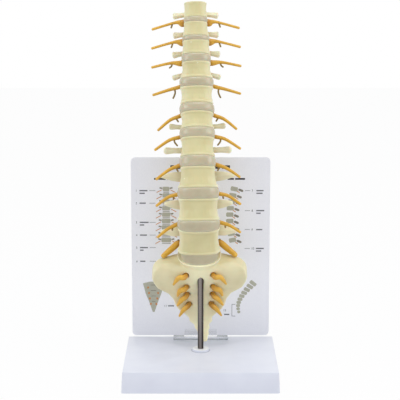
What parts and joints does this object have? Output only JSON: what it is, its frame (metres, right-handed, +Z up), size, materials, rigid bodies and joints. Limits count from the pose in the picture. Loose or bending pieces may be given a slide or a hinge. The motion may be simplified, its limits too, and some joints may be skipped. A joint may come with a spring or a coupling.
{
  "type": "spine display model with sacrum",
  "caption": "Display model of the lower spine: vertebrae, discs, nerves and sacrum on a steel rod and a white base, with a printed key card in a clear holder behind.",
  "frame": {"origin": "on the floor, under the middle of the base", "axes": "+Z up, +Y to the back, where the key card stands, +X to the viewer's right"},
  "size_m": [0.165, 0.171, 0.3982],
  "materials": {
    "bone": "cast plastic, satin",
    "disc": "soft translucent plastic",
    "nerve": "painted soft plastic",
    "steel": "ground bar stock",
    "base_white": "moulded, glossy",
    "card": "printed plastic card, satin",
    "clear_plastic": "clear, glossy"
  },
  "bodies": {
    "root": {"base": "base_white", "rod": "steel", "rod_screw": "steel", "rod_washer": "steel", "card_holder": "clear_plastic", "info_card": "card", "sacrum": "bone", "spinal_cord": "nerve", "vertebra_l5": "bone", "vertebra_l4": "bone", "vertebra_l3": "bone", "vertebra_l2": "bone", "vertebra_l1": "bone", "vertebra_t12": "bone", "vertebra_t11": "bone", "vertebra_t10": "bone", "vertebra_t9": "bone", "vertebra_t8": "bone", "disc_l5_s1": "disc", "disc_l4_l5": "disc", "disc_l3_l4": "disc", "disc_l2_l3": "disc", "disc_l1_l2": "disc", "disc_t12_l1": "disc", "disc_t11_t12": "disc", "disc_t10_t11": "disc", "disc_t9_t10": "disc", "disc_t8_t9": "disc", "nerve_l5_left": "nerve", "nerve_l5_right": "nerve", "nerve_l4_left": "nerve", "nerve_l4_right": "nerve", "nerve_l3_left": "nerve", "nerve_l3_right": "nerve", "nerve_l2_left": "nerve", "nerve_l2_right": "nerve", "nerve_l1_left": "nerve", "nerve_l1_right": "nerve", "nerve_t12_left": "nerve", "nerve_t12_right": "nerve", "nerve_t11_left": "nerve", "nerve_t11_right": "nerve", "nerve_t10_left": "nerve", "nerve_t10_right": "nerve", "nerve_t9_left": "nerve", "nerve_t9_right": "nerve", "nerve_t8_left": "nerve", "nerve_t8_right": "nerve", "sacral_nerve_s1_left": "nerve", "sacral_nerve_s1_right": "nerve", "sacral_nerve_s2_left": "nerve", "sacral_nerve_s2_right": "nerve", "sacral_nerve_s3_left": "nerve", "sacral_nerve_s3_right": "nerve", "sacral_nerve_s4_left": "nerve", "sacral_nerve_s4_right": "nerve"}
  },
  "joints": []
}
